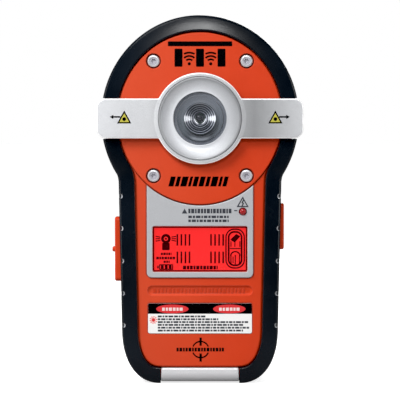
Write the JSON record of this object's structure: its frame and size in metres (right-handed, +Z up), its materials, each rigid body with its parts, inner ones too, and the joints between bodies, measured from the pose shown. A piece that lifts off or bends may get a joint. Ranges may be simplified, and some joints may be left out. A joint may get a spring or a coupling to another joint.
{
  "type": "stud finder",
  "caption": "Hand-held stud finder with a round head, silver crossbar, self-levelling side lasers, red back-lit display, rubber bumper and a sliding laser switch.",
  "frame": {"origin": "on the wall plane that the glide pads rest on, on the axis of the round marker lens", "axes": "+X to the right seen from the front, +Y from the front towards the wall, +Z up along the grip"},
  "size_m": [0.0988, 0.0423, 0.1772],
  "materials": {
    "orange_shell": "satin red-orange ABS",
    "rubber": "soft overmould, near black",
    "glide_felt": "dense glide strip",
    "silver": "metallic silver paint",
    "bezel_grey": "pale silver-grey overlay",
    "smoked_lens": "smoked clear dome",
    "clear_lens": "clear",
    "display_lens": "clear, red from the light behind",
    "lit_display": "red back-lit display",
    "diffuser": "white light guide",
    "red_lamp": "red lamp lens",
    "reflector": "stepped mirror finish",
    "label": null,
    "steel": "zinc-plated or polished steel",
    "die_cast": "die-cast, as cast",
    "brass": "turned brass",
    "copper": "bare copper",
    "circuit_board": "green solder mask",
    "black_part": "moulded black",
    "cell_sleeve": null
  },
  "bodies": {
    "case": {"bumper_left": "rubber", "bumper_right": "rubber", "bumper_top": "rubber", "buzzer": "black_part", "case_screw_1": "steel", "case_screw_2": "steel", "case_screw_3": "steel", "case_screw_4": "steel", "cell_left": "cell_sleeve", "cell_right": "cell_sleeve", "centre_lens": "smoked_lens", "centre_reflector": "reflector", "contact_plate_low": "steel", "contact_plate_top": "steel", "contact_spring_1": "steel", "contact_spring_2": "steel", "crossbar": "silver", "damping_magnet": "steel", "data_label": "label", "dish_bezel": "silver", "display_backlight": "diffuser", "display_bezel": "bezel_grey", "display_glass": "lit_display", "display_window": "display_lens", "electrode_left": "copper", "electrode_right": "copper", "end_cap": "silver", "front_shell": "orange_shell", "glide_pad_1": "glide_felt", "glide_pad_2": "glide_felt", "glide_pad_3": "glide_felt", "head_cover": "orange_shell", "head_screw_1": "steel", "head_screw_2": "steel", "head_screw_3": "steel", "head_screw_4": "steel", "lamp_board": "circuit_board", "laser_window_left": "clear_lens", "laser_window_right": "clear_lens", "live_wire_lamp": "red_lamp", "main_board": "circuit_board", "pivot_axle": "steel", "pivot_bracket": "die_cast", "rear_shell": "orange_shell", "scan_switch": "black_part", "sensor_board": "circuit_board", "spot_lamp": "red_lamp"},
    "laser_slider": {"laser_switch_slider": "orange_shell"},
    "lever": {"lock_lever": "steel"},
    "pendulum": {"pendulum_frame": "die_cast", "pendulum_weight": "brass", "laser_module_left": "brass", "laser_module_right": "brass", "line_lens_left": "clear_lens", "line_lens_right": "clear_lens", "damping_plate": "copper", "pivot_bearing_1": "steel", "pivot_bearing_2": "steel"},
    "button": {"scan_button": "orange_shell"},
    "door": {"battery_door": "orange_shell"}
  },
  "joints": [
    {"name": "laser_switch", "type": "slide", "parent": "case", "child": "laser_slider", "axis": [0, 0, 1], "range_m": [0, 0.004]},
    {"name": "lock_lever_turn", "type": "hinge", "parent": "case", "child": "lever", "pos_m": [-0.0237, -0.0078, -0.0224], "axis": [0, 1, 0], "range_deg": [0, 25.1]},
    {"name": "pendulum_swing", "type": "hinge", "parent": "case", "child": "pendulum", "pos_m": [0, -0.0105, 0], "axis": [0, 1, 0], "range_deg": [-6, 6]},
    {"name": "scan_button_press", "type": "slide", "parent": "case", "child": "button", "axis": [-1, 0, 0], "range_m": [0, 0.0012], "stiffness_N_per_m": 600},
    {"name": "battery_door_turn", "type": "hinge", "parent": "case", "child": "door", "pos_m": [0, -0.0033, -0.116], "axis": [-1, 0, 0], "range_deg": [0, 95], "stiffness_Nm_per_rad": 0.01}
  ],
  "couplings": [
    {"joint": "lock_lever_turn", "follows": "laser_switch", "rad_per_m": 109.33}
  ]
}
